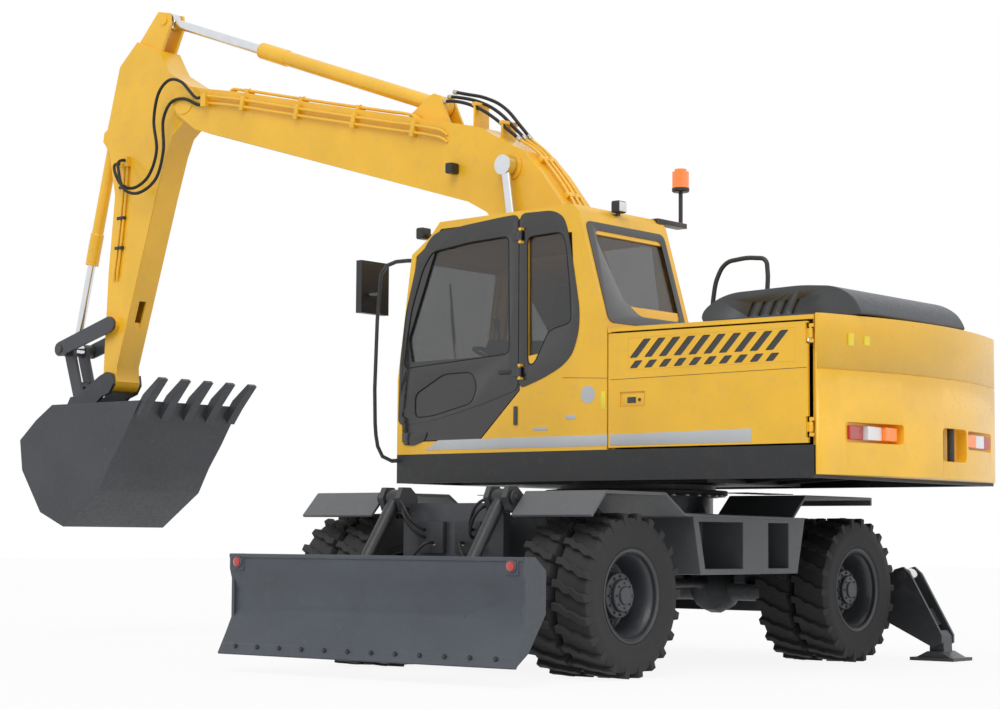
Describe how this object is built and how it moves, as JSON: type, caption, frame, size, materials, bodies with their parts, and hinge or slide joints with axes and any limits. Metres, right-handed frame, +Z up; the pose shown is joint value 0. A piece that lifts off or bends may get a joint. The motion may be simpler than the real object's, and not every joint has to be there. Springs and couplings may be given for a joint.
{
  "type": "wheeled excavator",
  "caption": "Wheeled excavator with a one-piece boom, dozer blade, outriggers, twin tyres, a glazed cab and opening engine covers.",
  "frame": {"origin": "on the ground under the middle of the bounding box, feet and tyres on Z = 0", "axes": "+X towards the dozer blade, +Y to the left of the undercarriage, +Z up; the house stands turned so that the boom points to -Y"},
  "size_m": [4.93, 8.9983, 5.58],
  "materials": {
    "yellow_paint": "semi-gloss yellow enamel",
    "grey_paint": "dark grey satin enamel",
    "black_paint": "black satin enamel",
    "rod": "polished hard chrome",
    "tyre": "matt tread rubber",
    "hose": "smooth black hose cover",
    "glass": "tinted cab glass",
    "beacon": "clear orange lens",
    "seat": "dark seat cloth and trim"
  },
  "bodies": {
    "chassis": {"chassis_frame": "grey_paint", "front_axle": "black_paint", "rear_axle": "black_paint", "side_deck_left": "grey_paint", "side_deck_right": "grey_paint"},
    "house": {"upper_frame": "black_paint", "counterweight": "yellow_paint", "right_body": "yellow_paint", "engine_block": "black_paint", "cab_shell": "yellow_paint", "windscreen": "glass", "rear_glass": "glass", "quarter_glass": "glass", "right_glass": "glass", "seat_console": "seat", "beacon": "beacon", "mirror_rail": "black_paint"},
    "side_door": {"side_door_left": "yellow_paint"},
    "cab_door": {"cab_door": "black_paint", "door_glass": "glass"},
    "hood": {"engine_hood": "black_paint"},
    "boom": {"boom": "yellow_paint", "hose_upper": "hose", "hose_lower": "hose"},
    "arm": {"arm": "yellow_paint"},
    "bucket": {"bucket": "grey_paint"},
    "rocker": {"rocker_links": "grey_paint"},
    "push_link": {"push_link": "grey_paint"},
    "blade": {"dozer_blade": "grey_paint"},
    "knuckle_left": {"knuckle_left": "black_paint"},
    "knuckle_right": {"knuckle_right": "black_paint"},
    "wheel_front_left": {"rim_front_left": "grey_paint", "tyre_front_left": "tyre"},
    "wheel_front_right": {"rim_front_right": "grey_paint", "tyre_front_right": "tyre"},
    "wheel_rear_left": {"rim_rear_left": "grey_paint", "tyre_rear_left": "tyre"},
    "wheel_rear_right": {"rim_rear_right": "grey_paint", "tyre_rear_right": "tyre"},
    "blade_cyl_left_barrel": {"blade_cyl_left_barrel": "black_paint"},
    "blade_cyl_left_rod": {"blade_cyl_left_rod": "rod"},
    "blade_cyl_right_barrel": {"blade_cyl_right_barrel": "black_paint"},
    "blade_cyl_right_rod": {"blade_cyl_right_rod": "rod"},
    "leg_left": {"outrigger_leg_left": "grey_paint"},
    "foot_left": {"outrigger_foot_left": "grey_paint"},
    "outrigger_cyl_left_barrel": {"outrigger_cyl_left_barrel": "black_paint"},
    "outrigger_cyl_left_rod": {"outrigger_cyl_left_rod": "rod"},
    "leg_right": {"outrigger_leg_right": "grey_paint"},
    "foot_right": {"outrigger_foot_right": "grey_paint"},
    "outrigger_cyl_right_barrel": {"outrigger_cyl_right_barrel": "black_paint"},
    "outrigger_cyl_right_rod": {"outrigger_cyl_right_rod": "rod"},
    "boom_cyl_left_barrel": {"boom_cyl_left_barrel": "yellow_paint"},
    "boom_cyl_left_rod": {"boom_cyl_left_rod": "rod"},
    "boom_cyl_right_barrel": {"boom_cyl_right_barrel": "yellow_paint"},
    "boom_cyl_right_rod": {"boom_cyl_right_rod": "rod"},
    "arm_cyl_barrel": {"arm_cyl_barrel": "yellow_paint"},
    "arm_cyl_rod": {"arm_cyl_rod": "rod"},
    "bucket_cyl_barrel": {"bucket_cyl_barrel": "yellow_paint"},
    "bucket_cyl_rod": {"bucket_cyl_rod": "rod"}
  },
  "joints": [
    {"name": "slew", "type": "hinge", "parent": "chassis", "child": "house", "pos_m": [-0.505, 2.029, 0], "axis": [0, 0, 1], "continuous": true},
    {"name": "steer_left", "type": "hinge", "parent": "chassis", "child": "knuckle_left", "pos_m": [1.249, 2.819, 0.525], "axis": [0, 0, 1], "range_deg": [-25, 25]},
    {"name": "steer_right", "type": "hinge", "parent": "chassis", "child": "knuckle_right", "pos_m": [1.249, 1.239, 0.525], "axis": [0, 0, 1], "range_deg": [-25, 25]},
    {"name": "spin_front_left", "type": "hinge", "parent": "knuckle_left", "child": "wheel_front_left", "pos_m": [1.249, 2.989, 0.525], "axis": [0, 1, 0], "continuous": true},
    {"name": "spin_front_right", "type": "hinge", "parent": "knuckle_right", "child": "wheel_front_right", "pos_m": [1.249, 1.069, 0.525], "axis": [0, 1, 0], "continuous": true},
    {"name": "spin_rear_left", "type": "hinge", "parent": "chassis", "child": "wheel_rear_left", "pos_m": [-1.551, 2.989, 0.525], "axis": [0, 1, 0], "continuous": true},
    {"name": "spin_rear_right", "type": "hinge", "parent": "chassis", "child": "wheel_rear_right", "pos_m": [-1.551, 1.069, 0.525], "axis": [0, 1, 0], "continuous": true},
    {"name": "blade_lift", "type": "hinge", "parent": "chassis", "child": "blade", "pos_m": [1.625, 2.029, 0.43], "axis": [0, -1, 0], "range_deg": [-15, 30]},
    {"name": "blade_cyl_left_turn", "type": "hinge", "parent": "chassis", "child": "blade_cyl_left_barrel", "pos_m": [1.605, 2.484, 1.143], "axis": [0, -1, 0], "range_deg": [-7, 13]},
    {"name": "blade_cyl_left_slide", "type": "slide", "parent": "blade_cyl_left_barrel", "child": "blade_cyl_left_rod", "axis": [0.5808, 0, -0.8141], "range_m": [-0.23, 0.12]},
    {"name": "blade_cyl_right_turn", "type": "hinge", "parent": "chassis", "child": "blade_cyl_right_barrel", "pos_m": [1.605, 1.574, 1.143], "axis": [0, -1, 0], "range_deg": [-7, 13]},
    {"name": "blade_cyl_right_slide", "type": "slide", "parent": "blade_cyl_right_barrel", "child": "blade_cyl_right_rod", "axis": [0.5808, 0, -0.8141], "range_m": [-0.23, 0.12]},
    {"name": "outrigger_left", "type": "hinge", "parent": "chassis", "child": "leg_left", "pos_m": [-2.305, 2.989, 0.4], "axis": [1, 0, 0], "range_deg": [-5, 80]},
    {"name": "foot_tilt_left", "type": "hinge", "parent": "leg_left", "child": "foot_left", "pos_m": [-2.305, 3.529, 0.165], "axis": [1, 0, 0], "range_deg": [-20, 20]},
    {"name": "outrigger_cyl_left_turn", "type": "hinge", "parent": "chassis", "child": "outrigger_cyl_left_barrel", "pos_m": [-2.305, 2.109, 0.75], "axis": [1, 0, 0], "range_deg": [-1, 7]},
    {"name": "outrigger_cyl_left_slide", "type": "slide", "parent": "outrigger_cyl_left_barrel", "child": "outrigger_cyl_left_rod", "axis": [0, 0.9937, -0.1123], "range_m": [-0.45, 0.03]},
    {"name": "outrigger_right", "type": "hinge", "parent": "chassis", "child": "leg_right", "pos_m": [-2.305, 1.069, 0.4], "axis": [-1, 0, 0], "range_deg": [-5, 80]},
    {"name": "foot_tilt_right", "type": "hinge", "parent": "leg_right", "child": "foot_right", "pos_m": [-2.305, 0.529, 0.165], "axis": [-1, 0, 0], "range_deg": [-20, 20]},
    {"name": "outrigger_cyl_right_turn", "type": "hinge", "parent": "chassis", "child": "outrigger_cyl_right_barrel", "pos_m": [-2.305, 1.949, 0.75], "axis": [-1, 0, 0], "range_deg": [-1, 7]},
    {"name": "outrigger_cyl_right_slide", "type": "slide", "parent": "outrigger_cyl_right_barrel", "child": "outrigger_cyl_right_rod", "axis": [0, -0.9937, -0.1123], "range_m": [-0.45, 0.03]},
    {"name": "cab_door_swing", "type": "hinge", "parent": "house", "child": "cab_door", "pos_m": [0.741, 1.929, 2.3], "axis": [0, 0, 1], "range_deg": [0, 150]},
    {"name": "side_door_swing", "type": "hinge", "parent": "house", "child": "side_door", "pos_m": [0.693, 4.234, 1.8], "axis": [0, 0, 1], "range_deg": [0, 95]},
    {"name": "hood_lift", "type": "hinge", "parent": "house", "child": "hood", "pos_m": [-0.505, 3.183, 2.33], "axis": [1, 0, 0], "range_deg": [0, 60]},
    {"name": "boom_lift", "type": "hinge", "parent": "house", "child": "boom", "pos_m": [-0.655, 1.779, 1.85], "axis": [-1, 0, 0], "range_deg": [-58, 18]},
    {"name": "boom_cyl_left_turn", "type": "hinge", "parent": "house", "child": "boom_cyl_left_barrel", "pos_m": [-0.397, 1.229, 1.42], "axis": [-1, 0, 0], "range_deg": [-56, 18]},
    {"name": "boom_cyl_left_slide", "type": "slide", "parent": "boom_cyl_left_barrel", "child": "boom_cyl_left_rod", "axis": [0, -0.1554, 0.9878], "range_m": [-0.64, 0.2]},
    {"name": "boom_cyl_right_turn", "type": "hinge", "parent": "house", "child": "boom_cyl_right_barrel", "pos_m": [-0.913, 1.229, 1.42], "axis": [-1, 0, 0], "range_deg": [-56, 18]},
    {"name": "boom_cyl_right_slide", "type": "slide", "parent": "boom_cyl_right_barrel", "child": "boom_cyl_right_rod", "axis": [0, -0.1554, 0.9878], "range_m": [-0.64, 0.2]},
    {"name": "arm_crowd", "type": "hinge", "parent": "boom", "child": "arm", "pos_m": [-0.655, -2.841, 4.71], "axis": [1, 0, 0], "range_deg": [-75, 35]},
    {"name": "arm_cyl_turn", "type": "hinge", "parent": "boom", "child": "arm_cyl_barrel", "pos_m": [-0.655, -0.011, 4.34], "axis": [1, 0, 0], "range_deg": [-8, 4]},
    {"name": "arm_cyl_slide", "type": "slide", "parent": "arm_cyl_barrel", "child": "arm_cyl_rod", "axis": [0, -0.9414, 0.3374], "range_m": [-0.84, 0.4]},
    {"name": "bucket_curl", "type": "hinge", "parent": "arm", "child": "bucket", "pos_m": [-0.655, -3.801, 2.262], "axis": [1, 0, 0], "range_deg": [-75, 28]},
    {"name": "rocker_turn", "type": "hinge", "parent": "arm", "child": "rocker", "pos_m": [-0.655, -3.761, 2.775], "axis": [1, 0, 0], "range_deg": [-60, 25]},
    {"name": "push_link_turn", "type": "hinge", "parent": "bucket", "child": "push_link", "pos_m": [-0.655, -4.261, 2.06], "axis": [1, 0, 0], "range_deg": [-40, 95]},
    {"name": "bucket_cyl_turn", "type": "hinge", "parent": "arm", "child": "bucket_cyl_barrel", "pos_m": [-0.655, -3.961, 4.497], "axis": [1, 0, 0], "range_deg": [-6, 4]},
    {"name": "bucket_cyl_slide", "type": "slide", "parent": "bucket_cyl_barrel", "child": "bucket_cyl_rod", "axis": [0, -0.2401, -0.9707], "range_m": [-0.62, 0.25]}
  ],
  "couplings": [
    {"joint": "steer_right", "follows": "steer_left", "ratio": 1},
    {"joint": "blade_cyl_left_turn", "follows": "blade_lift", "ratio": 0.407},
    {"joint": "blade_cyl_left_slide", "follows": "blade_lift", "m_per_rad": -0.4302},
    {"joint": "blade_cyl_right_turn", "follows": "blade_lift", "ratio": 0.407},
    {"joint": "blade_cyl_right_slide", "follows": "blade_lift", "m_per_rad": -0.4302},
    {"joint": "outrigger_cyl_left_turn", "follows": "outrigger_left", "ratio": 0.0814},
    {"joint": "outrigger_cyl_left_slide", "follows": "outrigger_left", "m_per_rad": -0.3145},
    {"joint": "outrigger_cyl_right_turn", "follows": "outrigger_right", "ratio": 0.0814},
    {"joint": "outrigger_cyl_right_slide", "follows": "outrigger_right", "m_per_rad": -0.3145},
    {"joint": "boom_cyl_left_turn", "follows": "boom_lift", "ratio": 0.9495},
    {"joint": "boom_cyl_left_slide", "follows": "boom_lift", "m_per_rad": 0.6233},
    {"joint": "boom_cyl_right_turn", "follows": "boom_lift", "ratio": 0.9495},
    {"joint": "boom_cyl_right_slide", "follows": "boom_lift", "m_per_rad": 0.6233},
    {"joint": "arm_cyl_turn", "follows": "arm_crowd", "ratio": 0.1013},
    {"joint": "arm_cyl_slide", "follows": "arm_crowd", "m_per_rad": 0.6338},
    {"joint": "rocker_turn", "follows": "bucket_curl", "ratio": 0.674},
    {"joint": "push_link_turn", "follows": "bucket_curl", "ratio": -1.012},
    {"joint": "bucket_cyl_turn", "follows": "bucket_curl", "ratio": 0.059},
    {"joint": "bucket_cyl_slide", "follows": "bucket_curl", "m_per_rad": 0.4416}
  ]
}
